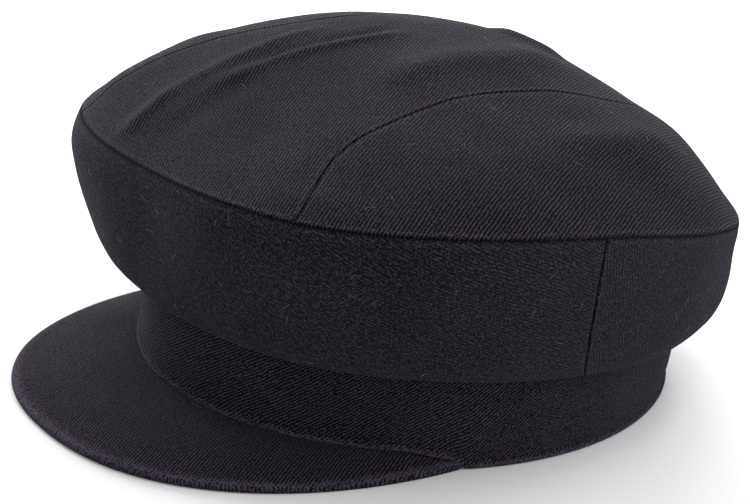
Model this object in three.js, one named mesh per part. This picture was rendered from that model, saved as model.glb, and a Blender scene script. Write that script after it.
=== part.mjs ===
// A soft sailor cap in dark twill: a three-piece crown, a flared wall, an upright headband and a short visor.
// Millimetres, +Z up, visor towards -Y, the wearer's left at +X. Angles run from the front towards the left.
import * as THREE from 'three'
import { mergeVertices } from 'three/addons/utils/BufferGeometryUtils.js'

// Headband, measured outside
const bandLength = 200
const bandWidth = 165
const bandHeight = 35.7
const bandHeightBack = 27
const bandSinkFrom = 50
const bandSinkTo = 130
const bandWall = 2.4
const bandSwell = 0.8
const hemHeight = 6
const hemSwell = 0.7

// Cloth and the clearance that sewn pieces keep in this model
const clothWall = 2
const seamGap = 0.3

// Crown: its edge is the seam that joins it to the wall
const crownLength = 232
const crownWidth = 194.5
const crownForward = 5
const crownRoundness = 2.43
const crownTaper = 0.04
const crownEdgeHeight = 86
const crownRise = 39.5
const crownFlatTop = 0.34
const crownLeanBack = 0.11
const crownLeanRight = 0.22
const crownFallAlong = 0.22
const crownFullAcross = 0.12
const panelSeamFront = 36
const panelSeamBack = 12

// Wall between headband and crown
const wallOverhang = 5
const wallBackFrom = 50
const wallBackTo = 120
const wallSeamFoot = 91.5
const wallSeamTop = 88

// Visor, which is sewn under the band's lifted front edge
const visorWidth = 156
const visorReach = 49
const visorSetback = 37.5
const visorRoundness = 2.24
const visorThickness = 3
const visorRise = 2.9
const visorCamber = 1.5
const visorHalfAngle = 67
const visorRimAngle = 89
const visorFlatFrom = 56
const visorTuck = 1.5
const liftFade = 5

// The crown edge dips towards the back: its height at each angle, as a share of crownEdgeHeight
const crownEdgeRows = [
  { angle: 0, height: 0.99 },
  { angle: 30, height: 1.05 },
  { angle: 60, height: 1.075 },
  { angle: 90, height: 1 },
  { angle: 120, height: 0.855 },
  { angle: 150, height: 0.715 },
  { angle: 180, height: 0.71 },
  { angle: 210, height: 0.725 },
  { angle: 240, height: 0.79 },
  { angle: 270, height: 0.87 },
  { angle: 300, height: 0.92 },
  { angle: 330, height: 0.955 },
]

// The wall's profile: up is a share of its height, and the other columns are shares of its flare
const wallRows = [
  { up: 0, front: 0, back: 0 },
  { up: 0.06, front: 0.2, back: 0.24 },
  { up: 0.15, front: 0.4, back: 0.54 },
  { up: 0.28, front: 0.63, back: 0.77 },
  { up: 0.44, front: 0.84, back: 0.87 },
  { up: 0.62, front: 1, back: 0.9 },
  { up: 0.8, front: 1.08, back: 0.92 },
  { up: 1, front: 1, back: 1 },
]

// How far each crown seam bows out from the straight line between its ends, as a share of half
// the crown's width
const seamRows = [
  { along: 0, left: 0, right: 0 },
  { along: 0.125, left: -0.13, right: 0.03 },
  { along: 0.25, left: -0.152, right: -0.012 },
  { along: 0.375, left: -0.135, right: -0.05 },
  { along: 0.5, left: -0.085, right: -0.045 },
  { along: 0.625, left: -0.035, right: -0.02 },
  { along: 0.75, left: -0.01, right: 0 },
  { along: 0.875, left: -0.012, right: 0.01 },
  { along: 1, left: 0, right: 0 },
]

// Folds of the crown cloth: a ridge between two places, given as shares of half the crown's length and width,
// with its half-width as a share of half the crown's width and its height as a share of crownRise
const foldRows = [
  { fromAlong: -0.93, fromAside: -0.29, toAlong: -0.69, toAside: -0.37, width: 0.05, height: 0.05 },
  { fromAlong: -0.66, fromAside: -0.35, toAlong: -0.2, toAside: -0.36, width: 0.05, height: 0.04 },
  { fromAlong: -0.62, fromAside: -0.24, toAlong: -0.05, toAside: -0.165, width: 0.045, height: 0.05 },
  { fromAlong: -0.5, fromAside: -0.29, toAlong: -0.05, toAside: -0.25, width: 0.05, height: -0.06 },
  { fromAlong: -0.25, fromAside: 0.12, toAlong: 0.42, toAside: 0.1, width: 0.09, height: 0.04 },
  { fromAlong: 0.04, fromAside: 0.66, toAlong: 0.52, toAside: 0.58, width: 0.08, height: 0.03 },
  { fromAlong: 0.3, fromAside: 0.78, toAlong: 0.8, toAside: 0.3, width: 0.16, height: 0.1 },
]

const radians = THREE.MathUtils.degToRad
const lerp = THREE.MathUtils.lerp
const smoothstep = THREE.MathUtils.smoothstep
const halfTurn = 180
const fullTurn = 360
const panelColumns = 18
const panelRows = 32
const sideColumns = 10
const ringSteps = 84
const wallSteps = 38
const visorSteps = 36
const slopeStep = 0.5
const foldFade = 0.15
const foldFadeEnd = 0.2
const foldsStop = 0.85

// Smooth curve through the rows of a table
function smoothColumn(rows, key, column, at, closed) {
  const last = rows.length - 1
  const step = rows[1][key] - rows[0][key]
  const wanted = closed ? THREE.MathUtils.euclideanModulo(at, fullTurn) : at
  let index = rows.findIndex((row) => row[key] > wanted) - 1
  if (index < 0) index = closed || wanted >= rows[last][key] ? last : 0
  if (!closed) index = Math.min(index, last - 1)
  const pick = (i) => rows[closed ? (i + rows.length) % rows.length : THREE.MathUtils.clamp(i, 0, last)][column]
  const span = closed ? step : rows[index + 1][key] - rows[index][key]
  const t = (wanted - rows[index][key]) / span
  const [p0, p1, p2, p3] = [-1, 0, 1, 2].map((offset) => pick(index + offset))
  const bend = 2 * p0 - 5 * p1 + 4 * p2 - p3
  const twist = 3 * p1 - p0 - 3 * p2 + p3
  return 0.5 * (2 * p1 + (p2 - p0) * t + bend * t * t + twist * t * t * t)
}

const spaced = (count, from, to) => Array.from({ length: count + 1 }, (_, i) => lerp(from, to, i / count))

// The headband's outline in plan, moved out by a distance
function bandOutline(angle, out) {
  const across = (bandWidth / 2 + out) * Math.sin(radians(angle))
  return new THREE.Vector2(across, -(bandLength / 2 + out) * Math.cos(radians(angle)))
}

// The crown's edge in plan: a full oval that tapers a little towards the front
function crownOutline(angle) {
  const sine = Math.sin(radians(angle))
  const cosine = Math.cos(radians(angle))
  const round = Math.abs(cosine) ** crownRoundness + Math.abs(sine) ** crownRoundness
  const reach = round ** (-1 / crownRoundness) * (1 - crownTaper * Math.cos(radians(3 * angle)))
  return new THREE.Vector2((crownWidth / 2) * sine * reach, -crownForward - (crownLength / 2) * cosine * reach)
}

const crownEdgeZ = (angle) => crownEdgeHeight * smoothColumn(crownEdgeRows, 'angle', 'height', angle, true)
const crownMiddleShare = crownEdgeRows.reduce((sum, row) => sum + row.height, 0) / crownEdgeRows.length
const crownMiddleZ = crownMiddleShare * crownEdgeHeight

// Height that the folds add at a place given as shares of the crown's half length and half width
function foldHeight(along, aside) {
  return foldRows.reduce((sum, fold) => {
    const runAlong = fold.toAlong - fold.fromAlong
    const runAside = fold.toAside - fold.fromAside
    const run = Math.hypot(runAlong, runAside)
    const t = ((along - fold.fromAlong) * runAlong + (aside - fold.fromAside) * runAside) / run ** 2
    const off = ((along - fold.fromAlong) * runAside - (aside - fold.fromAside) * runAlong) / run
    const fade = smoothstep(t, -foldFade, foldFadeEnd) * (1 - smoothstep(t, 1 - foldFadeEnd, 1 + foldFade))
    return sum + fold.height * crownRise * fade * Math.exp(-((off / fold.width) ** 2))
  }, 0)
}

// The angle on the crown's edge that a place in plan faces
const crownAngle = (x, y) => (
  THREE.MathUtils.radToDeg(Math.atan2(x / (crownWidth / 2), -(y + crownForward) / (crownLength / 2)))
)

// The crown's outer face above any place in plan
function crownZ(x, y) {
  const along = (y + crownForward) / (crownLength / 2)
  const aside = x / (crownWidth / 2)
  const angle = crownAngle(x, y)
  const edge = crownOutline(angle)
  const edgeReach = Math.hypot(edge.x / (crownWidth / 2), (edge.y + crownForward) / (crownLength / 2))
  const share = Math.hypot(along, aside) / edgeReach
  const base = lerp(crownMiddleZ, crownEdgeZ(angle), share ** 2)
  const lean = crownLeanBack * along - crownLeanRight * aside
  const swell = crownFullAcross * aside ** 2 - crownFallAlong * along ** 2
  const dome = 1 - (1 - crownFlatTop) * share ** 2 - crownFlatTop * share ** 4
    + (lean + swell) * (1 - share ** 2)
  const folds = foldHeight(along, aside) * (1 - smoothstep(share, foldsStop, 1))
  return base + seamGap + crownRise * dome + folds
}

// One cloth thickness inside the crown's outer face; at the edge the rim is cut level, to sit on the wall
function crownInner(x, y, outer, onEdge) {
  if (onEdge) {
    const inward = new THREE.Vector2(-x, -crownForward - y).setLength(clothWall)
    const place = new THREE.Vector2(x, y).add(inward)
    return new THREE.Vector3(place.x, place.y, crownEdgeZ(crownAngle(place.x, place.y)) + seamGap)
  }
  const slopeX = (crownZ(x + slopeStep, y) - crownZ(x - slopeStep, y)) / (2 * slopeStep)
  const slopeY = (crownZ(x, y + slopeStep) - crownZ(x, y - slopeStep)) / (2 * slopeStep)
  const inner = outer.clone().sub(new THREE.Vector3(-slopeX, -slopeY, 1).setLength(clothWall))
  inner.z = Math.max(inner.z, crownEdgeZ(crownAngle(x, y)) + seamGap)
  return inner
}

// A closed body from loops of points, joined one to the next, and capped unless it runs all the way round
function bodyFromLoops(loops, closed) {
  const size = loops[0].length
  const positions = loops.flatMap((loop) => loop.flatMap((point) => point.toArray()))
  const triangles = []
  const joins = closed ? loops.length : loops.length - 1
  for (let i = 0; i < joins; i += 1) {
    for (let j = 0; j < size; j += 1) {
      const [a, b] = [i * size + j, i * size + ((j + 1) % size)]
      const [c, d] = [((i + 1) % loops.length) * size + j, ((i + 1) % loops.length) * size + ((j + 1) % size)]
      triangles.push(a, c, b, b, c, d)
    }
  }
  if (!closed) {
    const last = (loops.length - 1) * size
    for (let j = 0; j < size / 2 - 1; j += 1) {
      const [a, b, c, d] = [j, j + 1, size - 1 - j, size - 2 - j]
      triangles.push(a, b, c, b, d, c)
      triangles.push(last + a, last + c, last + b, last + b, last + c, last + d)
    }
  }
  const geometry = new THREE.BufferGeometry()
  geometry.setAttribute('position', new THREE.Float32BufferAttribute(positions, 3))
  geometry.setIndex(triangles)
  return outward(mergeVertices(geometry, 1e-4))
}

// Turns a body's faces outwards, judged by the sign of its volume
function outward(geometry) {
  const index = Array.from(geometry.index.array)
  const point = (i) => new THREE.Vector3().fromBufferAttribute(geometry.attributes.position, i)
  let volume = 0
  for (let i = 0; i < index.length; i += 3) {
    volume += point(index[i]).dot(point(index[i + 1]).cross(point(index[i + 2])))
  }
  if (volume < 0) {
    geometry.setIndex(index.flatMap((_, i) => (i % 3 ? [] : [index[i], index[i + 2], index[i + 1]])))
  }
  geometry.computeVertexNormals()
  return geometry
}

// The seam between the centre panel and a side panel: side is 1 on the wearer's left and -1 on the right
function panelSeam(along, side) {
  const front = crownOutline(panelSeamFront)
  const back = crownOutline(halfTurn - panelSeamBack)
  const column = side > 0 ? 'left' : 'right'
  const bow = smoothColumn(seamRows, 'along', column, along, false) * crownWidth / 2
  return new THREE.Vector2(side * (lerp(front.x, back.x, along) + bow), lerp(front.y, back.y, along))
}

const crownLoop = (places) => {
  const outer = places.map(({ x, y }) => new THREE.Vector3(x, y, crownZ(x, y)))
  const inner = places.map(({ x, y, onEdge }, i) => crownInner(x, y, outer[i], onEdge))
  return [...outer, ...inner.reverse()]
}

// A row of the centre panel runs from seam to seam; its first and last rows lie on the crown's edge
function centrePanel() {
  const frontEnd = crownOutline(panelSeamFront)
  const backEnd = crownOutline(halfTurn - panelSeamBack)
  const loops = spaced(panelRows, 0, 1).map((along) => {
    const left = panelSeam(along, 1).x - seamGap / 2
    const right = panelSeam(along, -1).x + seamGap / 2
    const places = spaced(panelColumns, -1, 1).map((across) => {
      const front = crownOutline(panelSeamFront * across)
      const back = crownOutline(halfTurn - panelSeamBack * across)
      const x = lerp(right, left, (across + 1) / 2) + (1 - along) * (front.x - across * frontEnd.x)
        + along * (back.x - across * backEnd.x)
      const y = lerp(front.y, back.y, along)
      return { x, y, onEdge: along === 0 || along === 1 }
    })
    return crownLoop(places)
  })
  return bodyFromLoops(loops, false)
}

// A row of a side panel runs from its seam out to the crown's edge
function sidePanel(side) {
  const tip = 0.01
  const loops = spaced(panelRows, tip, 1 - tip).map((along) => {
    const seam = panelSeam(along, side)
    const edge = crownOutline(side * lerp(panelSeamFront, halfTurn - panelSeamBack, along))
    const start = seamGap / 2 / seam.distanceTo(edge)
    const places = spaced(sideColumns, 0, 1).map((out) => {
      const place = seam.clone().lerp(edge, lerp(start, 1, out))
      return { x: place.x, y: place.y, onEdge: out === 1 }
    })
    return crownLoop(places)
  })
  return bodyFromLoops(loops, false)
}

const turnFromFront = (angle) => (
  Math.abs(THREE.MathUtils.euclideanModulo(angle + halfTurn, fullTurn) - halfTurn)
)

// The band stands lower behind, where the soft wall sinks over it
const bandTop = (angle) => (
  lerp(bandHeight, bandHeightBack, smoothstep(turnFromFront(angle), bandSinkFrom, bandSinkTo))
)

// A section of the wall: its turned-in foot, which lies on the band, its outer face up to the crown's edge,
// then the inner face back down
function wallLoop([footAngle, topAngle]) {
  const foot = bandOutline(footAngle, wallOverhang)
  const flare = crownOutline(topAngle).sub(foot)
  const backShare = smoothstep(turnFromFront(topAngle), wallBackFrom, wallBackTo)
  const footZ = bandTop(footAngle) + seamGap
  const profile = wallRows.map((row) => new THREE.Vector2(
    lerp(row.front, row.back, backShare) * flare.length(),
    lerp(footZ, crownEdgeZ(topAngle), row.up),
  ))
  const inner = profile.slice(1).map((point, i) => {
    const atEdge = i === profile.length - 2
    const run = profile[Math.min(i + 2, profile.length - 1)].clone().sub(profile[i])
    const slope = new THREE.Vector2(run.y, -run.x)
    const normal = atEdge ? new THREE.Vector2(clothWall, 0) : slope.setLength(clothWall)
    return new THREE.Vector2(point.x - normal.x, Math.max(point.y - normal.y, footZ + clothWall))
  })
  const ledge = -wallOverhang - bandWall
  const outer = [new THREE.Vector2(ledge / 2, footZ), ...profile]
  inner.unshift(new THREE.Vector2(ledge, footZ), new THREE.Vector2(ledge, footZ + clothWall))
  const direction = flare.clone().normalize()
  const loop = [...outer, ...inner.reverse()].map((point) => (
    new THREE.Vector3(foot.x + direction.x * point.x, foot.y + direction.y * point.x, point.y)
  ))
  const rim = loop[outer.length]
  rim.z = crownEdgeZ(crownAngle(rim.x, rim.y))
  return loop
}

// A wall piece spans equal turns to both sides of its middle, which lies at the front or at the back
function wallPiece(middle, footTurn, topTurn) {
  const gapTurn = THREE.MathUtils.radToDeg(seamGap / bandWidth)
  const turns = spaced(wallSteps, -1, 1)
  const angles = turns.map((turn) => [
    middle + turn * (footTurn - gapTurn),
    middle + turn * (topTurn - gapTurn),
  ])
  return bodyFromLoops(angles.map(wallLoop), false)
}

// How far the band's lower edge is lifted to let the visor in under it
function bandLift(angle) {
  const turned = turnFromFront(angle)
  const end = visorHalfAngle + visorTuck
  const rise = visorRise * (1 - smoothstep(turned, visorFlatFrom, visorHalfAngle))
  return rise + (visorThickness + 2 * seamGap) * (1 - smoothstep(turned, end, end + liftFade))
}

// The headband's section: a flat wall whose lower edge is turned up and stitched as a thicker hem
function bandLoop(angle) {
  const low = bandLift(angle)
  const top = bandTop(angle)
  const profile = [
    [0, low],
    [hemSwell, low + hemSwell],
    [hemSwell, low + hemHeight - hemSwell],
    [0, low + hemHeight],
    [bandSwell, lerp(low + hemHeight, top, 0.5)],
    [0, top],
    [-bandWall, top],
    [bandSwell - bandWall, lerp(low + hemHeight, top, 0.5)],
    [-bandWall, low + hemHeight],
    [-bandWall, low],
  ]
  return profile.map(([out, z]) => {
    const place = bandOutline(angle, out)
    return new THREE.Vector3(place.x, place.y, z)
  })
}

function headband() {
  const angles = spaced(ringSteps, 0, fullTurn).slice(0, -1)
  return bodyFromLoops(angles.map(bandLoop), true)
}

// The visor's rim: half of a full oval, from one side of the band round the front to the other
function visorRim(angle) {
  const sine = Math.sin(radians(angle))
  const cosine = Math.cos(radians(angle))
  const depth = bandLength / 2 + visorReach - visorSetback
  return new THREE.Vector2(
    (visorWidth / 2) * Math.sign(sine) * Math.abs(sine) ** (2 / visorRoundness),
    -visorSetback - depth * Math.abs(cosine) ** (2 / visorRoundness),
  )
}

// A section of the visor from its root under the band to its rounded rim
function visorLoop(share) {
  const root = bandOutline(share * visorHalfAngle, -bandWall)
  const rim = visorRim(share * visorRimAngle)
  const rootRise = bandLift(share * visorHalfAngle) - visorThickness - seamGap
  const radius = visorThickness / 2
  const reach = root.distanceTo(rim) - radius
  const direction = rim.clone().sub(root).normalize()
  const across = [0, 0.25, 0.5, 0.75, 1]
  const middle = (out) => radius + rootRise * (1 - out)
    + visorCamber * Math.sin(Math.PI * out) * Math.cos(radians(share * visorRimAngle))
  const top = across.map((out) => [out * reach, middle(out) + radius])
  const nose = [45, 0, -45].map((turn) => [
    reach + radius * Math.cos(radians(turn)),
    radius + radius * Math.sin(radians(turn)),
  ])
  const under = across.map((out) => [out * reach, middle(out) - radius]).reverse()
  const tail = [[0, middle(0)]]
  return [...top, ...nose, ...under, ...tail].map(([out, z]) => (
    new THREE.Vector3(root.x + direction.x * out, root.y + direction.y * out, z)
  ))
}

function visor() {
  return bodyFromLoops(spaced(visorSteps, -1, 1).map(visorLoop), false)
}

const twill = (colour) => new THREE.MeshStandardMaterial({ color: colour, roughness: 0.92, metalness: 0 })

const pieces = [
  ['crown_centre_panel', centrePanel(), 0x25242b],
  ['crown_side_panel_left', sidePanel(1), 0x232229],
  ['crown_side_panel_right', sidePanel(-1), 0x232229],
  ['wall_front', wallPiece(0, wallSeamFoot, wallSeamTop), 0x222128],
  ['wall_back', wallPiece(halfTurn, halfTurn - wallSeamFoot, halfTurn - wallSeamTop), 0x222128],
  ['headband', headband(), 0x1f1e24],
  ['visor', visor(), 0x212026],
]

const cap = new THREE.Group()
for (const [name, geometry, colour] of pieces) {
  const mesh = new THREE.Mesh(geometry, twill(colour))
  mesh.name = name
  cap.add(mesh)
}

// The origin is the middle of the cap's base, so the cap moves back by half of what the visor adds in front
const box = new THREE.Box3().setFromObject(cap)
cap.position.y = -(box.min.y + box.max.y) / 2

export default cap
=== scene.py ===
# %% [markdown]
# # A soft sailor cap in dark twill
#
# The cap is sewn from seven cuts of the same cotton twill: three for the crown, two for the wall
# that flares out under it, one for the headband and one that covers the visor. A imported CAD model
# fixes where each of them lies. This lesson puts real cloth in those places, cut by cut.

# %% Load the fixed frame
import math
import random

import bmesh
import bpy
from mathutils import Matrix, Vector, noise


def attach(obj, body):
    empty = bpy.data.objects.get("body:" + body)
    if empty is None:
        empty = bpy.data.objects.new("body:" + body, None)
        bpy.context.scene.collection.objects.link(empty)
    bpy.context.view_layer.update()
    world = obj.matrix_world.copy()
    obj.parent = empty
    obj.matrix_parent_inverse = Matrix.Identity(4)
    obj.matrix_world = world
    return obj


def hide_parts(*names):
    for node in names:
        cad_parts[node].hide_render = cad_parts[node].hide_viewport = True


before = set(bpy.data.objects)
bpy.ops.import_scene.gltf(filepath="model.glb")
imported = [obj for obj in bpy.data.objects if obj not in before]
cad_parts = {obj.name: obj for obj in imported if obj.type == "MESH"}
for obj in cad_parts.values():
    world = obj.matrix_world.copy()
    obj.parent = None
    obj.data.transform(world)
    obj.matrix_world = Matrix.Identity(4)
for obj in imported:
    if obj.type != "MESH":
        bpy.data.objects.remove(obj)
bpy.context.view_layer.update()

mm = 0.001
print("CAD pieces:", sorted(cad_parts))

# %% [markdown]
# ## The two ovals
#
# A cap is drafted from two ovals seen from above: the smaller one is the head, and the fuller
# one is the edge of the crown. Every cut runs between places on them, so they come first, as two
# small functions of an angle that starts at the front and grows towards the wearer's left. The
# origin is the middle of the whole cap, and the visor in front puts the head's oval behind it.

# %% Ovals of the head and the crown
head_middle = Vector((0, 16.68 * mm, 0))
band_half_width = 82.5 * mm
band_half_length = 100 * mm
crown_half_width = 97.25 * mm
crown_half_length = 116 * mm
crown_forward = 5 * mm
crown_fullness = 2.43
crown_taper = 0.04


def band_oval(angle, out=0.0):
    """The headband's outline, moved out by a distance."""
    turn = math.radians(angle)
    return head_middle + Vector((
        (band_half_width + out) * math.sin(turn), -(band_half_length + out) * math.cos(turn), 0))


def crown_oval(angle):
    """The edge of the crown: fuller than an ellipse, and a little narrower in front."""
    turn = math.radians(angle)
    sine, cosine = math.sin(turn), math.cos(turn)
    fullness = abs(cosine) ** crown_fullness + abs(sine) ** crown_fullness
    reach = fullness ** (-1 / crown_fullness) * (1 - crown_taper * math.cos(3 * turn))
    return head_middle + Vector((
        crown_half_width * sine * reach, -crown_forward - crown_half_length * cosine * reach, 0))


print("head, front to back:", round((band_oval(180) - band_oval(0)).length / mm), "mm")
print("crown, front to back:", round((crown_oval(180) - crown_oval(0)).length / mm), "mm")

# %% [markdown]
# ## The slump of the edge
#
# The cap lies on a table with nobody's head in it, so the edge of the crown doesn't stay level:
# it stands high on the wearer's left, and sinks at the back. A cloth simulation would sag too, but
# never in this very way, so the heights are stated every 30 degrees and a smooth curve runs
# through them. The same curve helper draws each of the other free lines of the cap.

# %% Smooth curves and the height of the edge
def smooth(values, at, closed=False):
    """A curve through evenly spaced values, at a share from 0 to 1 of its length."""
    count = len(values) if closed else len(values) - 1
    start = math.floor(at * count)
    if not closed:
        start = min(max(start, 0), count - 1)
    t = at * count - start
    last = len(values) - 1
    a, b, c, d = (
        values[(start + i) % len(values)] if closed else values[min(max(start + i, 0), last)]
        for i in (-1, 0, 1, 2))
    bend = 2 * a - 5 * b + 4 * c - d
    twist = 3 * b - a - 3 * c + d
    return 0.5 * (2 * b + (c - a) * t + bend * t * t + twist * t ** 3)


def ease(value, low, high):
    """A soft step from 0 at low to 1 at high."""
    t = min(max((value - low) / (high - low), 0), 1)
    return t * t * (3 - 2 * t)


def mix(a, b, share):
    return a + (b - a) * share


def swell(distance, width):
    """A soft bump of height 1 round a distance of 0."""
    return math.exp(-(distance / width) ** 2)


edge_heights = [
    h * mm for h in (85.1, 90.3, 92.5, 86, 73.5, 61.5, 61.1, 62.4, 67.9, 74.8, 79.1, 82.1)]


def edge_height(angle):
    return smooth(edge_heights, angle % 360 / 360, closed=True)


print("edge, front and back:", round(edge_height(0) / mm), round(edge_height(180) / mm), "mm")

# %% [markdown]
# ## The crown's surface
#
# Above the edge the crown is a low dome that leans the way it has slumped, with a few folds that
# run from the front towards the middle. Each fold is a soft bump along a short line. The dome is
# a height above any place in plan, so that the three cuts lie on one surface and meet at their
# seams. A fine unevenness, from noise, keeps the cloth from looking pressed.

# %% Dome, folds and unevenness
crown_rise = 39.5 * mm
crown_middle = sum(edge_heights) / len(edge_heights)
seam_gap = 0.3 * mm
flat_top = 0.34
lean_back, lean_right = 0.11, 0.22
fall_along, full_across = 0.22, 0.12
crown_broad_rumple = 34 * mm, 0.9 * mm  # size and depth
crown_fine_rumple = 13 * mm, 0.25 * mm
crown_still_from = 0.9  # the unevenness fades from here to the seam at the edge
fold_past, fold_within = 0.15, 0.2  # a fold fades in from before its end to within it
folds = [  # from along, from aside, to along, to aside, width, height
    (-1.00, -0.26, -0.72, -0.35, 0.022, 0.060),
    (-0.74, -0.34, -0.24, -0.34, 0.026, 0.030),
    (-0.64, -0.24, -0.05, -0.165, 0.018, 0.040),
    (-0.52, -0.26, -0.05, -0.20, 0.026, -0.020),
    (-0.86, -0.13, -0.55, -0.17, 0.060, -0.030),
    (-0.85, -0.66, -0.40, -0.68, 0.150, 0.060),
    (-0.25, 0.12, 0.42, 0.10, 0.090, 0.045),
    (0.04, 0.66, 0.52, 0.58, 0.080, 0.040),
    (0.36, -0.20, 0.48, 0.00, 0.050, 0.060),
    (0.30, 0.78, 0.80, 0.30, 0.160, 0.10),
]


def fold_height(along, aside):
    height = 0
    for from_along, from_aside, to_along, to_aside, width, bump in folds:
        run_along, run_aside = to_along - from_along, to_aside - from_aside
        run = math.hypot(run_along, run_aside)
        t = ((along - from_along) * run_along + (aside - from_aside) * run_aside) / run ** 2
        off = ((along - from_along) * run_aside - (aside - from_aside) * run_along) / run
        fade = ease(t, -fold_past, fold_within) * (1 - ease(t, 1 - fold_within, 1 + fold_past))
        height += bump * crown_rise * fade * swell(off, width)
    return height


def rumple(place, size, depth):
    """Soft unevenness of cloth, of a given size and depth."""
    return depth * noise.noise(place / size)


def crown_share(place):
    """A place's shares along, aside and of the way to the edge, and the angle it faces."""
    along = (place.y - head_middle.y + crown_forward) / crown_half_length
    aside = place.x / crown_half_width
    angle = math.degrees(math.atan2(aside, -along))
    edge = crown_oval(angle) - head_middle
    reach = math.hypot(edge.x / crown_half_width, (edge.y + crown_forward) / crown_half_length)
    return along, aside, math.hypot(along, aside) / reach, angle


def on_crown(place):
    """The place on the crown's outer face above a place in plan."""
    along, aside, share, angle = crown_share(place)
    base = mix(crown_middle, edge_height(angle), share ** 2)
    lean = (lean_back * along - lean_right * aside
            + full_across * aside ** 2 - fall_along * along ** 2)
    dome = 1 - (1 - flat_top) * share ** 2 - flat_top * share ** 4 + lean * (1 - share ** 2)
    soft = (fold_height(along, aside) + rumple(place, *crown_broad_rumple)
            + rumple(place, *crown_fine_rumple))
    height = base + seam_gap + crown_rise * dome + soft * (1 - ease(share, crown_still_from, 1))
    return Vector((place.x, place.y, height))


print("crown top:", round(on_crown(head_middle).z / mm), "mm")

# %% [markdown]
# ## How a cut of cloth is made
#
# A cut starts as a flat grid, as it would on the cutting table, and its points are moved to where
# the sewn cloth lies. The grid is closer near its edges, where the cloth has to turn sharply into
# a seam. Each point also keeps its place on the flat cloth in a UV map called cloth, in metres,
# so that the twill's ribs can follow the weave over every fold. A number for wear and painted light
# goes with each point too. Above 0 it says how much the cloth is rubbed there, and on rolled edges
# it also paints a highlight; below 0 it marks the fold of a seam, which is painted darker as shade.

# %% Grids of cloth
def crowded(share, amount):
    """Moves evenly spaced shares towards both ends."""
    return share - amount * math.sin(2 * math.pi * share) / (2 * math.pi)


def face_outwards(cloth, inside):
    """Turns the cloth's right side away from a point inside it."""
    cloth.normal_update()
    if sum(face.normal.dot(face.calc_center_median() - inside) for face in cloth.faces) < 0:
        bmesh.ops.reverse_faces(cloth, faces=cloth.faces)
    cloth.normal_update()


def cut_cloth(columns, rows, place, inside, crowding=(0.85, 0.85)):
    """A grid moved to place(across, along), and its points by column and row."""
    cloth = bmesh.new()
    cloth.verts.layers.float.new("wear_and_painted_light")
    bmesh.ops.create_grid(cloth, x_segments=columns, y_segments=rows, size=0.5)
    net = {}
    for point in cloth.verts:
        across, along = point.co.x + 0.5, point.co.y + 0.5
        net[round(across * columns), round(along * rows)] = point
        point.co = place(crowded(across, crowding[0]), crowded(along, crowding[1]))
    face_outwards(cloth, inside)
    return cloth, net


def threads(net, columns, rows):
    """How far each point lies from the cloth's four sides, measured along its threads."""
    from_left, from_front = {}, {}
    for i in range(columns + 1):
        for j in range(rows + 1):
            point, left, front = net[i, j], net.get((i - 1, j)), net.get((i, j - 1))
            from_left[point] = from_left[left] + (point.co - left.co).length if i else 0
            from_front[point] = from_front[front] + (point.co - front.co).length if j else 0
    to_right = {p: from_left[net[columns, j]] - from_left[p] for (i, j), p in net.items()}
    to_back = {p: from_front[net[i, rows]] - from_front[p] for (i, j), p in net.items()}
    return from_left, to_right, from_front, to_back


# %% Seams, wall thickness and finishing a cut
seam_roll = 0.95 * mm
seam_depth = 0.6 * mm
seam_allowance = 1.8 * mm
seam_overlap = 0.12 * mm
cloth_thickness = 1.5 * mm
weld_distance = 0.02 * mm
rubbed_by_seam, rubbed_from_seam, rubbed_width = 0.35, 1.6 * mm, 0.9 * mm
# width of the painted shade in the fold of a seam
painted_seam_shade_width = 0.7 * mm


def roll_into_seams(cloth, distances):
    """Turns the cloth down over its last millimetre; its very edge goes on inside as allowance."""
    turned = {}
    wear_and_painted_light = cloth.verts.layers.float["wear_and_painted_light"]
    for point in cloth.verts:
        near = min(d[point] for d in distances)
        rubbed = rubbed_by_seam * swell(near - rubbed_from_seam, rubbed_width)
        # beside a seam the cloth is rubbed lighter, and in its fold it is painted darker, as shade
        point[wear_and_painted_light] += rubbed - swell(near, painted_seam_shade_width)
        if near < seam_roll:
            slope = 1 - near / seam_roll
            depth = seam_depth * (1 - math.sqrt(1 - slope * slope))
            turned[point] = point.normal * (depth + (seam_allowance if near == 0 else 0))
    for point, move in turned.items():
        point.co -= move


def keep_on_cloth(cloth, flat):
    """Writes each point's place on the flat cloth to the UV map."""
    weave = cloth.loops.layers.uv.new("cloth")
    for face in cloth.faces:
        for corner in face.loops:
            corner[weave].uv = flat(corner.vert)


def to_object(name, made):
    """Turns the points and faces that were made into a linked object."""
    mesh = bpy.data.meshes.new(name)
    made.to_mesh(mesh)
    made.free()
    linked = bpy.data.objects.new(name, mesh)
    bpy.context.scene.collection.objects.link(linked)
    return linked


def finish_cut(name, cloth, thickness=cloth_thickness):
    """Closes the cut's tips, gives it a thickness and rounds it."""
    bmesh.ops.remove_doubles(cloth, verts=cloth.verts, dist=weld_distance)
    for face in cloth.faces:
        face.smooth = True
    piece = to_object(name, cloth)
    if thickness:
        wall = piece.modifiers.new("thickness", "SOLIDIFY")
        wall.thickness = thickness
        wall.offset = -1
    soft = piece.modifiers.new("soft", "SUBSURF")
    soft.levels = soft.render_levels = 1
    print(name, len(piece.data.polygons), "faces before rounding")
    return piece


def dress(piece, node, finish):
    """Puts a piece on the frame in place of its CAD node, with its finish."""
    piece.data.materials.append(finish)
    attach(piece, "root")
    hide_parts(node)
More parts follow.
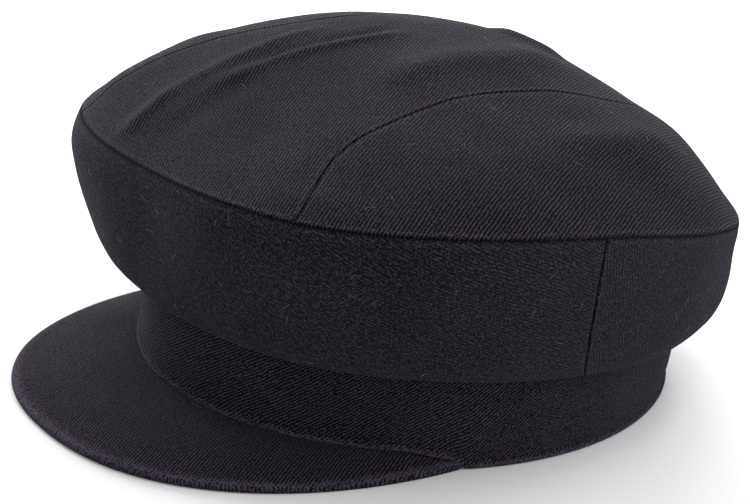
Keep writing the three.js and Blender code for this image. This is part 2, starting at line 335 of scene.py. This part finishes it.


# %% [markdown]
# ## Twill
#
# Twill shows slanted ribs, just over a millimetre apart, because each weft thread passes over two
# warp threads and steps along by one. Here a wave across the ribs makes them, a second and finer
# wave breaks each rib into its separate floats, and noise bends both, so that no rib is ruled.
# Two fine noises add the yarn's fuzz and its pale flecks. The pattern sits on the cloth's own UV
# map, so it turns with each cut, and it feeds the colour and the bump. Where the wear number is
# above 0 the ribs are matted and the cloth is lighter, as wear, and on the rolled edges of the hem
# and the visor also as painted highlight; below 0, in the fold of a seam, it is painted darker, as
# shade. The yarn is a charcoal with a breath of violet, and its bloom is the shader's sheen.

# %% Twill material
rib_pitch = 1.16 * mm
float_pitch, float_slant = 0.56 * mm, 52
thread_wander = 1.2 * mm
wave_turn = 2 * math.pi / 20  # Blender's wave texture repeats 20 times in this length
rib_height, rib_middle = 0.75, 0.3  # shares in the pattern: a rib's own, and its mean
float_height, yarn_height, fluff_height = 0.22, 2.4, 4.6
shade_span = 0.5  # from the darkest to the lightest part of the pattern
matting = 0.85  # how far rubbed cloth fills up between its ribs
# how far the wear number lightens the colour for wear and painted highlight, and darkens it in seam
# folds as painted shade
wear_and_painted_light_gain = 0.7
bump_strength, bump_height = 0.8, 0.16 * mm
yarn_dark, yarn_light = (0.0014, 0.0010, 0.0021), (0.048, 0.0395, 0.0590)


def link(tree, source, output, target, socket):
    tree.links.new(source.outputs[output], target.inputs[socket])


def add(tree, kind, inputs=None, **settings):
    """A shader node with its settings and the constants on its sockets."""
    made = tree.nodes.new(kind)
    for key, value in settings.items():
        setattr(made, key, value)
    for key, value in (inputs or {}).items():
        made.inputs[key].default_value = value
    return made


def plain_finish(name, colour):
    finish = bpy.data.materials.new(name)
    finish.use_nodes = True
    shader = finish.node_tree.nodes["Principled BSDF"]
    shader.inputs["Base Color"].default_value = (*colour, 1)
    shader.inputs["Roughness"].default_value = 0.9
    return finish


def twill(name, rib_angle, pitch=rib_pitch, ribbing=1.0, dark=yarn_dark, light=yarn_light):
    """Twill whose ribs run at an angle to the first direction of the cloth's UV map."""
    material = bpy.data.materials.new(name)
    material.use_nodes = True
    tree = material.node_tree
    shader = tree.nodes["Principled BSDF"]
    shader.inputs["Roughness"].default_value = 0.95
    shader.inputs["Specular IOR Level"].default_value = 0.05
    shader.inputs["Sheen Weight"].default_value = 0.035
    shader.inputs["Sheen Roughness"].default_value = 0.38
    shader.inputs["Sheen Tint"].default_value = (0.92, 0.84, 1.0, 1)
    cloth = add(tree, "ShaderNodeUVMap", uv_map="cloth")
    bend = add(tree, "ShaderNodeTexNoise", {"Scale": 110, "Detail": 2})
    link(tree, cloth, "UV", bend, "Vector")
    centred = add(tree, "ShaderNodeVectorMath", {1: (0.5, 0.5, 0.5)}, operation="SUBTRACT")
    link(tree, bend, "Color", centred, 0)
    wander = add(tree, "ShaderNodeVectorMath", {"Scale": thread_wander}, operation="SCALE")
    link(tree, centred, "Vector", wander, 0)
    bent = add(tree, "ShaderNodeVectorMath", operation="ADD")
    link(tree, cloth, "UV", bent, 0)
    link(tree, wander, "Vector", bent, 1)
    turn = add(tree, "ShaderNodeMapping", {"Rotation": (0, 0, -math.radians(rib_angle))})
    link(tree, bent, "Vector", turn, "Vector")
    wave = add(tree, "ShaderNodeTexWave", {"Scale": wave_turn / pitch},
               wave_type="BANDS", bands_direction="Y", wave_profile="SIN")
    link(tree, turn, "Vector", wave, "Vector")
    ribs = add(tree, "ShaderNodeMath", {1: 1.4}, operation="POWER")
    link(tree, wave, "Fac", ribs, 0)
    lay = add(tree, "ShaderNodeMapping", {"Rotation": (0, 0, math.radians(float_slant))})
    link(tree, turn, "Vector", lay, "Vector")
    floats = add(tree, "ShaderNodeTexWave",
                 {"Scale": wave_turn / float_pitch, "Distortion": 1.5, "Detail": 1},
                 wave_type="BANDS", bands_direction="Y", wave_profile="SIN")
    link(tree, lay, "Vector", floats, "Vector")
    along_rib = add(tree, "ShaderNodeMapping", {"Scale": (0.4, 1, 1)})
    link(tree, turn, "Vector", along_rib, "Vector")
    yarn = add(tree, "ShaderNodeTexNoise", {"Scale": 1350, "Detail": 3, "Roughness": 0.75})
    link(tree, along_rib, "Vector", yarn, "Vector")
    fluff = add(tree, "ShaderNodeTexNoise", {"Scale": 1400, "Detail": 3, "Roughness": 0.8})
    link(tree, cloth, "UV", fluff, "Vector")
    patches = add(tree, "ShaderNodeTexNoise", {"Scale": 30, "Detail": 5, "Roughness": 0.62})
    link(tree, cloth, "UV", patches, "Vector")
    woven = add(tree, "ShaderNodeMath", {1: float_height}, operation="MULTIPLY")
    link(tree, floats, "Fac", woven, 0)
    # the wear number: wear and painted highlight above 0, painted shade in the folds of seams below
    # 0
    rubbed = add(tree, "ShaderNodeAttribute", attribute_name="wear_and_painted_light")
    whole = add(tree, "ShaderNodeMath", {0: 1}, operation="SUBTRACT", use_clamp=True)
    link(tree, rubbed, "Fac", whole, 1)
    matted = add(tree, "ShaderNodeMath", {1: -matting, 2: matting}, operation="MULTIPLY_ADD")
    link(tree, whole, "Value", matted, 0)
    standing = add(tree, "ShaderNodeMath", operation="MULTIPLY_ADD")
    link(tree, ribs, "Value", standing, 0)
    link(tree, whole, "Value", standing, 1)
    link(tree, matted, "Value", standing, 2)
    raised = add(tree, "ShaderNodeMath", {1: rib_height * ribbing}, operation="MULTIPLY_ADD")
    link(tree, standing, "Value", raised, 0)
    link(tree, woven, "Value", raised, 2)
    fuzzy = add(tree, "ShaderNodeMath", {1: yarn_height}, operation="MULTIPLY_ADD")
    link(tree, yarn, "Fac", fuzzy, 0)
    link(tree, raised, "Value", fuzzy, 2)
    flecked = add(tree, "ShaderNodeMath", {1: fluff_height}, operation="MULTIPLY_ADD")
    link(tree, fluff, "Fac", flecked, 0)
    link(tree, fuzzy, "Value", flecked, 2)
    middle = (yarn_height + fluff_height) / 2 + float_height / 2 + rib_middle * ribbing
    shade = add(tree, "ShaderNodeMapRange", {"From Min": middle, "From Max": middle + shade_span})
    link(tree, flecked, "Value", shade, "Value")
    tone = add(tree, "ShaderNodeMix", data_type="RGBA")
    tone.inputs[6].default_value = (*dark, 1)
    tone.inputs[7].default_value = (*light, 1)
    link(tree, shade, "Result", tone, 0)
    faded = add(tree, "ShaderNodeMapRange",
                {"From Min": 0.3, "From Max": 0.7, "To Min": 0.84, "To Max": 1.16})
    link(tree, patches, "Fac", faded, "Value")
    # the colour is scaled by the wear number: lighter where worn or given a painted highlight,
    # darker where a seam's fold is painted as shade
    wear_and_painted_light = add(tree, "ShaderNodeMath", {1: wear_and_painted_light_gain}, operation="MULTIPLY_ADD")
    link(tree, rubbed, "Fac", wear_and_painted_light, 0)
    link(tree, faded, "Result", wear_and_painted_light, 2)
    worn_and_painted_light = add(tree, "ShaderNodeVectorMath", operation="SCALE")
    tree.links.new(tone.outputs[2], worn_and_painted_light.inputs[0])
    link(tree, wear_and_painted_light, "Value", worn_and_painted_light, "Scale")
    link(tree, worn_and_painted_light, "Vector", shader, "Base Color")
    bump = add(tree, "ShaderNodeBump", {"Strength": bump_strength, "Distance": bump_height})
    link(tree, flecked, "Value", bump, "Height")
    link(tree, bump, "Normal", shader, "Normal")
    return material


# The crown and the visor lie open to the light, so the same yarn is painted a shade darker on them,
# as painted shade
painted_shade_yarn_light = (0.042, 0.0345, 0.0515)
crown_twill = twill("crown_twill", 122, ribbing=1.4, light=painted_shade_yarn_light)
crown_side_twill = twill("crown_side_twill", 120, pitch=1.2 * mm, ribbing=1.4, light=painted_shade_yarn_light)
# The wall shows less contrast
matt = {"ribbing": 0.5, "dark": (0.0052, 0.0042, 0.0068), "light": (0.0385, 0.0315, 0.0475)}
wall_front_twill = twill("wall_front_twill", 153, pitch=1.04 * mm, **matt)
wall_back_twill = twill("wall_back_twill", 100, pitch=1.26 * mm, **matt)
band_twill = twill("band_twill", 44, pitch=1.15 * mm, ribbing=1.2)
visor_twill = twill("visor_twill", 118, pitch=1.06 * mm, ribbing=1.4, light=painted_shade_yarn_light)
thread_finish = twill("thread_finish", 20, pitch=0.5 * mm, ribbing=0.5)

# %% [markdown]
# ## The crown's three cuts
#
# Two long seams divide the crown. They start at the front, a third of the way round to each side,
# swing in over the top and end close together at the back. The near one bows well inwards. A row of
# the centre cut runs from seam to seam, and a row of a side cut runs from its seam to the edge.

# %% Crown seams
seam_front_angle, seam_back_angle = 36, 12
seam_bows = {
    1: (0, -0.13, -0.152, -0.135, -0.085, -0.035, -0.01, -0.012, 0),
    -1: (0, 0.03, -0.012, -0.05, -0.045, -0.02, 0, 0.01, 0),
}
front_end, back_end = crown_oval(seam_front_angle), crown_oval(180 - seam_back_angle)


def crown_seam(along, side):
    bow = smooth(seam_bows[side], along) * crown_half_width
    x, y = mix(front_end.x, back_end.x, along), mix(front_end.y, back_end.y, along)
    return Vector((side * (x + bow), y, 0))


def centre_place(across, along):
    turned = 2 * across - 1
    front, back = crown_oval(seam_front_angle * turned), crown_oval(180 - seam_back_angle * turned)
    left, right = crown_seam(along, 1).x + seam_overlap, crown_seam(along, -1).x - seam_overlap
    x = mix(right, left, across)
    x += (1 - along) * (front.x - turned * front_end.x) + along * (back.x - turned * back_end.x)
    return on_crown(Vector((x, mix(front.y, back.y, along), 0)))


def side_place(side):
    def place(across, along):
        edge = crown_oval(side * mix(seam_front_angle, 180 - seam_back_angle, along))
        seam = crown_seam(along, side) - Vector((side * seam_overlap, 0, 0))
        return on_crown(seam.lerp(edge, across))
    return place


# %% Flat places on the crown
crown_rows = 104


def crown_flat(point):
    """A place on the crown unrolled: its direction from the middle, at its length of cloth."""
    steps = 10
    middle = head_middle - Vector((0, crown_forward, 0))
    plan = Vector((point.co.x, point.co.y, 0))
    stops = [on_crown(middle.lerp(plan, i / steps)) for i in range(steps + 1)]
    length = sum((b - a).length for a, b in zip(stops, stops[1:]))
    way = (plan - middle).normalized() * length
    return way.x, way.y


def crown_cut(name, columns, place, finish, sewn_sides=4):
    """One cut of the crown; the side cuts run to a point, so only two of their sides are sewn."""
    cloth, net = cut_cloth(columns, crown_rows, place, inside=head_middle)
    flats = {point: crown_flat(point) for point in cloth.verts}
    keep_on_cloth(cloth, flats.get)
    roll_into_seams(cloth, threads(net, columns, crown_rows)[:sewn_sides])
    dress(finish_cut(name, cloth), name, finish)


crown_cut("crown_centre_panel", 60, centre_place, crown_twill)

# %% Side cuts of the crown
crown_cut("crown_side_panel_left", 44, side_place(1), crown_side_twill, sewn_sides=2)
crown_cut("crown_side_panel_right", 44, side_place(-1), crown_side_twill, sewn_sides=2)

# %% [markdown]
# ## The wall
#
# The wall rises from the band, bellies out and meets the crown at its edge. Its foot hangs a few
# millimetres over the band and turns in there, which makes the soft shadow round the cap. The
# front cut is cut on the other slant, and two upright seams near the sides join it to the back cut.

# %% Profile of the wall
band_top_front, band_top_back = 35.7 * mm, 27 * mm
wall_overhang = 5 * mm
wall_shares = [0, 0.06, 0.15, 0.28, 0.44, 0.62, 0.8, 1]
wall_front_out = [0, 0.43, 0.66, 0.79, 0.91, 1.03, 1.1, 1.02]
wall_back_out = [0, 0.46, 0.78, 0.93, 0.96, 0.94, 0.94, 1]
wall_seam_foot, wall_seam_top = 91.5, 88
wall_turn_in = 0.07
foot_round = 3.2 * mm
foot_round_height = 5 * mm
band_slopes, wall_changes = (50, 130), (50, 120)  # angles between front and back
wall_broad_rumple = 30 * mm, 1.3 * mm
wall_fine_rumple = 12 * mm, 0.35 * mm
wall_still = 0.15  # the share at foot and edge over which the unevenness fades


def turn_from_front(angle):
    return abs((angle + 180) % 360 - 180)


def band_top(angle):
    return mix(band_top_front, band_top_back, ease(turn_from_front(angle), *band_slopes))


def profile_at(outs, up):
    """The wall's flare at a share of its height, on a curve through unevenly spaced rows."""
    i = max(k for k in range(len(wall_shares) - 1) if wall_shares[k] <= max(up, 0))
    span = wall_shares[i + 1] - wall_shares[i]
    t = (up - wall_shares[i]) / span
    rise = before = after = outs[i + 1] - outs[i]
    if i > 0:
        before = (outs[i + 1] - outs[i - 1]) / (wall_shares[i + 1] - wall_shares[i - 1]) * span
    if i + 2 < len(outs):
        after = (outs[i + 2] - outs[i]) / (wall_shares[i + 2] - wall_shares[i]) * span
    bend, twist = 3 * rise - 2 * before - after, before + after - 2 * rise
    return outs[i] + before * t + bend * t * t + twist * t ** 3


def wall_place(foot_angle, top_angle, up):
    """A place on the wall's outer face; below 0 its foot turns in over the band."""
    foot = band_oval(foot_angle, wall_overhang)
    flare = crown_oval(top_angle) - foot
    back = ease(turn_from_front(top_angle), *wall_changes)
    foot_height = band_top(foot_angle) + seam_gap
    if up < 0:
        inwards = foot_round + (wall_overhang - foot_round) * -up
        return foot - flare.normalized() * inwards + Vector((0, 0, foot_height))
    out = mix(profile_at(wall_front_out, up), profile_at(wall_back_out, up), back)
    place = foot + flare * out
    place.z = mix(foot_height, edge_height(top_angle), up)
    low = max(0, 1 - (place.z - foot_height) / foot_round_height)
    place -= flare.normalized() * foot_round * (1 - math.sqrt(1 - low * low))
    soft = rumple(place, *wall_broad_rumple) + rumple(place, *wall_fine_rumple)
    fade = 1 - ease(up, 1 - wall_still, 1)
    return place + flare.normalized() * soft * ease(up, 0, wall_still) * fade


# %% Lengths round the wall
def arc_table(oval, steps=720):
    """Length along an oval at each step of its turn."""
    lengths = [0]
    for i in range(steps):
        lengths.append(lengths[-1] + (oval((i + 1) * 360 / steps) - oval(i * 360 / steps)).length)
    return lengths


def arc_at(lengths, angle):
    turns, part = divmod(angle, 360)
    spot = part / 360 * (len(lengths) - 1)
    i = min(int(spot), len(lengths) - 2)
    return turns * lengths[-1] + mix(lengths[i], lengths[i + 1], spot - i)


crown_arc = arc_table(crown_oval)
band_arc = arc_table(band_oval)
print("round the crown:", round(crown_arc[-1] / mm), "mm")
print("round the head:", round(band_arc[-1] / mm), "mm")


# %% Cuts of the wall
wall_crowding = 0.8
wall_inside = head_middle + Vector((0, 0, 60 * mm))


def wall_cut(name, middle, foot_reach, top_reach, finish):
    columns, rows = 150, 36
    gap = -math.degrees(seam_overlap / band_half_width)

    def angles(across):
        turned = 2 * across - 1
        return middle + turned * (foot_reach - gap), middle + turned * (top_reach - gap)

    def place(across, along):
        up = (along - wall_turn_in) / (1 - wall_turn_in)
        return wall_place(*angles(across), up if up > 0 else up * (1 - wall_turn_in) / wall_turn_in)

    cloth, net = cut_cloth(columns, rows, place, wall_inside, (wall_crowding, wall_crowding))
    from_left, to_right, from_foot, to_edge = threads(net, columns, rows)
    flats = {}
    for (i, _), point in net.items():
        foot_angle, top_angle = angles(crowded(i / columns, wall_crowding))
        round_wall = mix(arc_at(band_arc, foot_angle), arc_at(crown_arc, top_angle), 0.5)
        flats[point] = (round_wall, from_foot[point])
    keep_on_cloth(cloth, flats.get)
    roll_into_seams(cloth, (from_left, to_right, to_edge))
    dress(finish_cut(name, cloth), name, finish)


wall_cut("wall_front", 0, wall_seam_foot, wall_seam_top, wall_front_twill)
wall_cut("wall_back", 180, 180 - wall_seam_foot, 180 - wall_seam_top, wall_back_twill)

# %% [markdown]
# ## The headband
#
# The band is one strip whose lower edge is folded up and stitched, so it ends in a soft roll with
# the line of stitches above it. Its section is drawn once and spun round the head, and then each
# point is moved from the circle to the oval. In front the band stands on the visor, so its
# lower edge lifts there.

# %% Lift of the band over the visor
visor_thickness = 3 * mm
visor_rise = 2.9 * mm
visor_half_angle, visor_flat_from = 67, 56
visor_tuck, lift_fade = -1.5, 4.5


def band_lift(angle):
    turned = turn_from_front(angle)
    end = visor_half_angle + visor_tuck
    rise = visor_rise * (1 - ease(turned, visor_flat_from, visor_half_angle))
    return rise + (visor_thickness + 2 * seam_gap) * (1 - ease(turned, end, end + lift_fade))


# %% Section of the band, spun round the head
band_wall = 2.4 * mm
hem_height = 6 * mm
hem_section = [  # out, up from the lower edge, in millimetres
    (-0.9, 0.0), (0.3, 0.05), (0.9, 0.5), (1.1, 1.2), (1.0, 2.0),
    (0.6, 2.7), (0.25, 3.1), (0.2, 3.5), (0.33, 4.4), (0.45, 6.0)]
band_face_out, band_belly = 0.45 * mm, 0.5 * mm  # the face's reach at the hem, and its bulge
face_steps, inner_steps = 12, 10
# the hem's roll is lighter, partly from wear and partly as painted highlight: amount, height and
# width
hem_wear_and_highlight, hem_ridge, hem_wear_and_highlight_width = 0.7, 1.3 * mm, 1.1 * mm
band_rumple = 28 * mm, 0.5 * mm
band_loosens = 4 * mm, 12 * mm  # the heights between which the unevenness sets in
band_steps = 300
circle = band_half_length


def band_place(angle, out, up):
    """A place on the band, which follows its lower edge up to the hem and stretches above it."""
    low, top = band_lift(angle), band_top(angle)
    share = (up - hem_height) / (band_top_front - hem_height)
    height = low + up if up <= hem_height else mix(low + hem_height, top, share)
    place = band_oval(angle, out)
    place.z = height
    return place


def band_face(i):
    bulge = band_belly * math.sin(math.pi * i / face_steps)
    return band_face_out + bulge, mix(hem_height, band_top_front, i / face_steps)


band = bmesh.new()
band.verts.layers.float.new("wear_and_painted_light")
outer = [(out * mm, up * mm) for out, up in hem_section]
outer += [band_face(i) for i in range(1, face_steps)]
outer += [(0.3 * mm, band_top_front), (-1.2 * mm, band_top_front + 0.1 * mm)]
inner = [(-band_wall, mix(band_top_front, 0.4 * mm, i / inner_steps))
         for i in range(inner_steps + 1)]
section_places = outer + inner
section_lengths = [0]
for (out, up), (next_out, next_up) in zip(section_places, section_places[1:]):
    section_lengths.append(section_lengths[-1] + math.hypot(next_out - out, next_up - up))
section = [band.verts.new((0, -circle - out, up)) for out, up in section_places]
rim = [band.edges.new((a, b)) for a, b in zip(section, section[1:] + section[:1])]
bmesh.ops.spin(band, geom=section + rim, cent=(0, 0, 0), axis=(0, 0, 1), angle=2 * math.pi,
               steps=band_steps, use_merge=True)
bmesh.ops.recalc_face_normals(band, faces=band.faces)
band_wear_and_painted_light = band.verts.layers.float["wear_and_painted_light"]
band_angles, band_flats = {}, {}
for point in band.verts:
    angle = math.degrees(math.atan2(point.co.x, -point.co.y))
    out, up = math.hypot(point.co.x, point.co.y) - circle, point.co.z
    band_angles[point] = angle
    row = min(range(len(section_places)),
              key=lambda i: math.dist(section_places[i], (out, up)))
    band_flats[point] = section_lengths[row]
    # the hem's roll is painted lighter, as wear and painted highlight
    point[band_wear_and_painted_light] = hem_wear_and_highlight * swell(up - hem_ridge, hem_wear_and_highlight_width)
    place = band_place(angle, out, up)
    sway = rumple(place, *band_rumple) * ease(up, *band_loosens)
    point.co = place + (band_oval(angle, 1) - band_oval(angle)) * sway

# %% Weave of the band
weave = band.loops.layers.uv.new("cloth")
for face in band.faces:
    middle = face.calc_center_median() - head_middle
    facing = math.degrees(math.atan2(middle.x / band_half_width, -middle.y / band_half_length))
    for corner in face.loops:
        angle = facing + (band_angles[corner.vert] - facing + 180) % 360 - 180
        corner[weave].uv = arc_at(band_arc, angle), band_flats[corner.vert]
dress(finish_cut("headband", band, thickness=0), "headband", band_twill)

# %% [markdown]
# ## The visor
#
# The visor is a stiff board covered in the same twill, which is drawn round its edge and sewn in
# under the band. A grid is wrapped round its section, over the top, round the rolled edge and back
# underneath, so the cloth and its ribs run on without a break. Under the band, at its root and at
# both tips, the board thins to nothing. The cloth meets itself there, which closes the cover.

# %% Wrapping cloth round the visor
visor_half_width = 78 * mm
visor_setback = 37.5 * mm
visor_reach = 49 * mm
visor_fullness = 2.24
visor_rim_angle = 89
visor_camber = 1.5 * mm
visor_radius = visor_thickness / 2
visor_press = 0.5 * mm  # how far the hem sinks into the visor's cloth
visor_end = 1.025  # the cloth runs on a little past the board, and tucks in under the band
visor_root_slope, visor_end_slope = 0.012, 0.006  # shares over which the board thins out
visor_top_share = 0.44  # of the cloth across, the part that lies on top
visor_rumple = 26 * mm, 0.5 * mm
visor_loosens = 2 * mm, 3 * mm
visor_crowding = 0.5
# the cloth rolled round the visor's rim is lighter, partly from wear and partly as painted
# highlight: amount, how far past the rim, and width
visor_rim_wear_and_highlight, visor_rim_lightened_past, visor_rim_wear_and_highlight_width = 0.8, 1.5 * mm, 2.2 * mm


def visor_rim(angle):
    turn = math.radians(angle)
    depth = band_half_length + visor_reach - visor_setback
    side = abs(math.sin(turn)) ** (2 / visor_fullness)
    front = math.copysign(abs(math.cos(turn)) ** (2 / visor_fullness), math.cos(turn))
    return head_middle + Vector((
        math.copysign(visor_half_width * side, angle), -visor_setback - depth * front, 0))


def visor_section(share):
    """Root, direction and reach of the visor's section, and how far its root is raised."""
    root = band_oval(share * visor_half_angle, -band_wall)
    rim = visor_rim(share * visor_rim_angle)
    reach = (rim - root).length - visor_radius
    raised = band_lift(share * visor_half_angle) - visor_thickness + visor_press
    return root, (rim - root).normalized(), reach, raised


def visor_height(out, share, raised):
    turn = math.radians(share * visor_rim_angle)
    camber = visor_camber * math.sin(math.pi * out) * math.cos(turn)
    return visor_radius + raised * (1 - out) + camber


def visor_place(across, along):
    """Across runs over the top, round the rim and back under; along runs from end to end."""
    share = visor_end * (2 * along - 1)
    root, way, reach, raised = visor_section(share)
    folded = min(across, 1 - across)
    out = min(folded / visor_top_share, 1)
    half = visor_radius * min(1, folded / visor_root_slope)
    half *= min(1, min(along, 1 - along) / visor_end_slope)
    if folded < visor_top_share:
        spot = out * reach
        height = visor_height(out, share, raised) + math.copysign(half, 0.5 - across)
    else:
        turn = math.pi * (across - visor_top_share) / (1 - 2 * visor_top_share)
        spot = reach + half * math.sin(turn)
        height = visor_height(1, share, raised) + half * math.cos(turn)
    place = root + way * spot
    place.z = max(0, height + rumple(place, *visor_rumple) * ease(height, *visor_loosens))
    return place


visor_columns, visor_rows = 84, 150
visor_middle = head_middle + Vector((0, -110 * mm, 2 * mm))
visor_cloth, visor_net = cut_cloth(
    visor_columns, visor_rows, visor_place, inside=visor_middle, crowding=(0, visor_crowding))
over_visor = threads(visor_net, visor_columns, visor_rows)[0]
visor_wear_and_painted_light = visor_cloth.verts.layers.float["wear_and_painted_light"]
visor_flats = {}
for (_, j), point in visor_net.items():
    share = visor_end * (2 * crowded(j / visor_rows, visor_crowding) - 1)
    root, way, reach, _ = visor_section(share)
    spot = root + way * over_visor[point]
    visor_flats[point] = (spot.x, spot.y)
    # the rolled rim is painted lighter, as wear and painted highlight
    past_ridge = over_visor[point] - reach - visor_rim_lightened_past
    point[visor_wear_and_painted_light] = visor_rim_wear_and_highlight * swell(past_ridge, visor_rim_wear_and_highlight_width)
keep_on_cloth(visor_cloth, visor_flats.get)
bmesh.ops.remove_doubles(visor_cloth, verts=visor_cloth.verts, dist=weld_distance)
print("visor's open edges:", sum(edge.is_boundary for edge in visor_cloth.edges))
dress(finish_cut("visor", visor_cloth, thickness=0), "visor", visor_twill)

# %% [markdown]
# ## Topstitching
#
# One line of thread holds the band's folded edge. Each stitch is a slim bead laid on the cloth
# along the line, so close that they read as a dotted row. A single small sphere, stretched and
# turned, is repeated, which keeps each stitch to a few faces.

# %% Stitches round the band
stitch_pitch = 2.9 * mm
stitch_length = 2.1 * mm
stitch_width = 0.55 * mm
stitch_line = 3.1 * mm
stitch_out = 0.15 * mm
stitch_stray = 0.1  # of a millimetre, up or down
random.seed(7)
thread = bmesh.new()
stitch_count = int(band_arc[-1] / stitch_pitch)
for i in range(stitch_count):
    angle = next(a / 4 for a in range(1441) if arc_at(band_arc, a / 4) >= i * stitch_pitch)
    stray = random.uniform(-stitch_stray, stitch_stray) * mm
    spot = band_place(angle, stitch_out, stitch_line + stray)
    ahead = (band_place(angle + 1, stitch_out, stitch_line) - spot).normalized()
    outward = (band_oval(angle, 1) - band_oval(angle)).normalized()
    upward = outward.cross(ahead)
    turn = Matrix((ahead, upward, outward)).transposed().to_4x4()
    size = Matrix.Diagonal((stitch_length / 2, stitch_width / 2, stitch_width / 2, 1))
    bmesh.ops.create_uvsphere(thread, u_segments=8, v_segments=5, radius=1,
                              matrix=Matrix.Translation(spot) @ turn @ size)
keep_on_cloth(thread, lambda point: (point.co.x + point.co.y, point.co.z))
for face in thread.faces:
    face.smooth = True
topstitch = to_object("band_topstitch", thread)
topstitch.data.materials.append(thread_finish)
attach(topstitch, "root")
print("stitches:", stitch_count)

# %% [markdown]
# ## Lint
#
# Napped cloth sheds and gathers loose fibres, which stand off it as short pale hairs. Each one here
# is a slim spindle, bent and laid on the crown or the wall at a seeded random place, so the cap
# looks handled. Spindles keep each hair to eighteen faces and closed.

# %% Loose fibres on the cloth
lint_count = 170
lint_radius = 0.04 * mm
lint_step = 0.01
lint_on_wall = 0.55  # the share of the hairs that lie on the wall


def on_wall(turn, up):
    return wall_place(turn * 180, turn * 180, up)


def on_dome(along, aside):
    return on_crown(Vector((aside * crown_half_width, along * crown_half_length, 0)) + head_middle)


def lay_fibre(lint, surface, first, second):
    """Adds one bent hair that touches the surface with its ends."""
    here = surface(first, second)
    one = (surface(first + lint_step, second) - here).normalized()
    up = one.cross(surface(first, second + lint_step) - here).normalized()
    up *= math.copysign(1, up.dot(here - head_middle))
    turn = random.uniform(0, math.pi)
    way = one * math.cos(turn) + up.cross(one) * math.sin(turn)
    half, arch = random.uniform(0.6, 2.2) * mm, random.uniform(0.05, 0.5) * mm
    bend = random.uniform(-0.7, 0.7) * mm
    hair = bmesh.ops.create_uvsphere(lint, u_segments=3, v_segments=6, radius=1)["verts"]
    for point in hair:
        x, y, z = point.co
        rise = arch * (1 - z * z) + lint_radius * (1 + y)
        aside = up.cross(way) * (lint_radius * x + bend * z * z)
        point.co = here + way * z * half + aside + up * rise


random.seed(11)
lint = bmesh.new()
for _ in range(lint_count):
    if random.random() < lint_on_wall:
        lay_fibre(lint, on_wall, random.uniform(-1, 1), random.uniform(0.08, 0.95))
    else:
        lay_fibre(lint, on_dome, random.uniform(-0.8, 0.8), random.uniform(-0.75, 0.75))
bmesh.ops.recalc_face_normals(lint, faces=lint.faces)
loose_lint = to_object("lint", lint)
loose_lint.data.materials.append(plain_finish("lint_finish", (0.20, 0.19, 0.23)))
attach(loose_lint, "root")
print("hairs:", lint_count)

# %% [markdown]
# ## Floor, light and camera
#
# Dark cloth needs a bright room: most of what shows its folds is light that grazes it from the
# sides and from behind. So the room is nearly white, with a large soft light over the cap, a
# strong one at its right, one behind each side and a weak one by the camera. The camera stands at
# the wearer's front left, a little above the cap, with the long lens of product photography.

# %% Floor
paper = bmesh.new()
bmesh.ops.create_grid(paper, x_segments=1, y_segments=1, size=3)
floor = to_object("floor", paper)
floor.data.materials.append(plain_finish("floor_paper", (0.86, 0.86, 0.87)))

# %% Light
world = bpy.data.worlds.new("room")
bpy.context.scene.world = world
world.use_nodes = True
world.node_tree.nodes["Background"].inputs["Color"].default_value = (1, 1, 1, 1)
world.node_tree.nodes["Background"].inputs["Strength"].default_value = 0.8
bpy.context.scene.view_settings.view_transform = "Standard"


def soft_light(name, place, size, power, target=(0, 0, 0.06)):
    lamp = bpy.data.lights.new(name, "AREA")
    lamp.shape = "DISK"
    lamp.size = size
    lamp.energy = power
    made = bpy.data.objects.new(name, lamp)
    bpy.context.scene.collection.objects.link(made)
    way = Vector(place) - Vector(target)
    turn = way.to_track_quat("Z", "Y").to_matrix().to_4x4()
    made.matrix_world = Matrix.Translation(place) @ turn


soft_light("light_above", (0.05, 0.4, 1.35), 1.2, 6)
soft_light("light_right", (-1.3, -0.05, 0.42), 0.8, 22)
soft_light("light_behind_left", (0.9, 1.2, 0.5), 0.8, 8)
soft_light("light_behind_right", (-1.0, 0.85, 0.45), 0.8, 14)
soft_light("light_by_the_camera", (0.9, -1.3, 0.9), 0.8, 2)

# %% Camera
camera_azimuth, camera_elevation, camera_roll = (math.radians(d) for d in (49.99, 22.71, 7.94))
camera_distance = 0.86196
camera_target = Vector((0, -3.97 * mm, 43 * mm))
towards = Vector((
    math.sin(camera_azimuth) * math.cos(camera_elevation),
    -math.cos(camera_azimuth) * math.cos(camera_elevation),
    math.sin(camera_elevation)))
level = Vector((math.cos(camera_azimuth), math.sin(camera_azimuth), 0))
upright = towards.cross(level)
sideways = level * math.cos(camera_roll) + upright * math.sin(camera_roll)
upwards = upright * math.cos(camera_roll) - level * math.sin(camera_roll)
lens = bpy.data.cameras.new("camera")
lens.sensor_width = 36
lens.lens = 120
camera = bpy.data.objects.new("camera", lens)
bpy.context.scene.collection.objects.link(camera)
camera.matrix_world = Matrix.Translation(camera_target + towards * camera_distance) @ Matrix(
    (sideways, upwards, towards)).transposed().to_4x4()
bpy.context.scene.camera = camera
